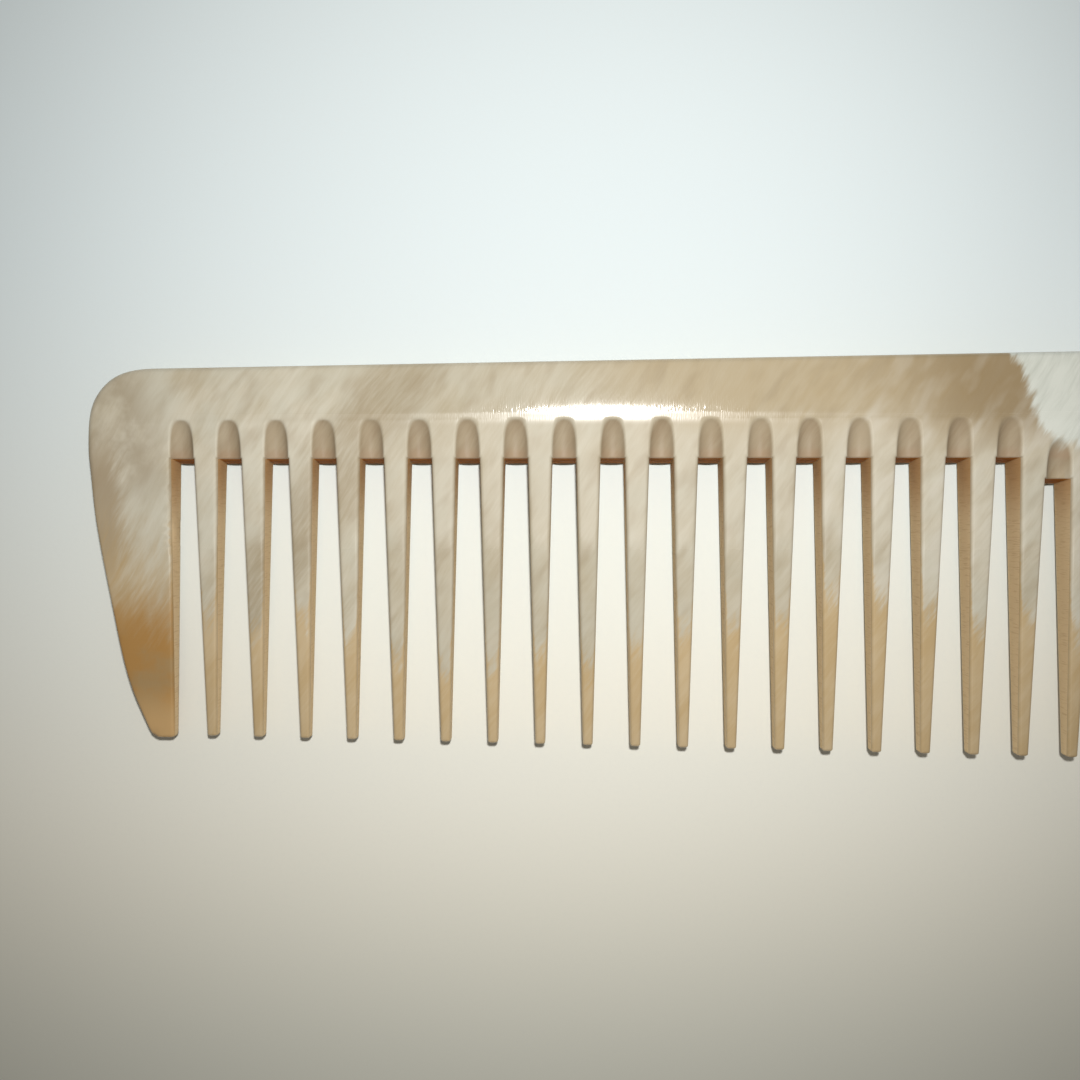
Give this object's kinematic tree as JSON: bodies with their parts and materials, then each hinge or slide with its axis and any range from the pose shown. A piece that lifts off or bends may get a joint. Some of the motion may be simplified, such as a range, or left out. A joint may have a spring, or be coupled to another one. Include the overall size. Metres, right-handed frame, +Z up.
{
  "type": "wide tooth comb",
  "caption": "Flat wide tooth hair comb of polished pale horn with a broad end guard, tapered teeth, a straight back and a rounded handle.",
  "frame": {"origin": "under the middle of the whole comb, in the plane of the flat zone's underside", "axes": "+X along the comb from the end guard to the handle, +Y from the tooth tips to the back, +Z up through the thickness"},
  "size_m": [0.1978, 0.0516, 0.0065],
  "materials": {
    "horn": "gloss"
  },
  "bodies": {
    "root": {"back_bar": "horn", "end_guard": "horn", "tooth_01": "horn", "tooth_02": "horn", "tooth_03": "horn", "tooth_04": "horn", "tooth_05": "horn", "tooth_06": "horn", "tooth_07": "horn", "tooth_08": "horn", "tooth_09": "horn", "tooth_10": "horn", "tooth_11": "horn", "tooth_12": "horn", "tooth_13": "horn", "tooth_14": "horn", "tooth_15": "horn", "tooth_16": "horn", "tooth_17": "horn", "tooth_18": "horn", "tooth_19": "horn", "tooth_20": "horn", "heel_guard": "horn", "handle": "horn"}
  },
  "joints": []
}
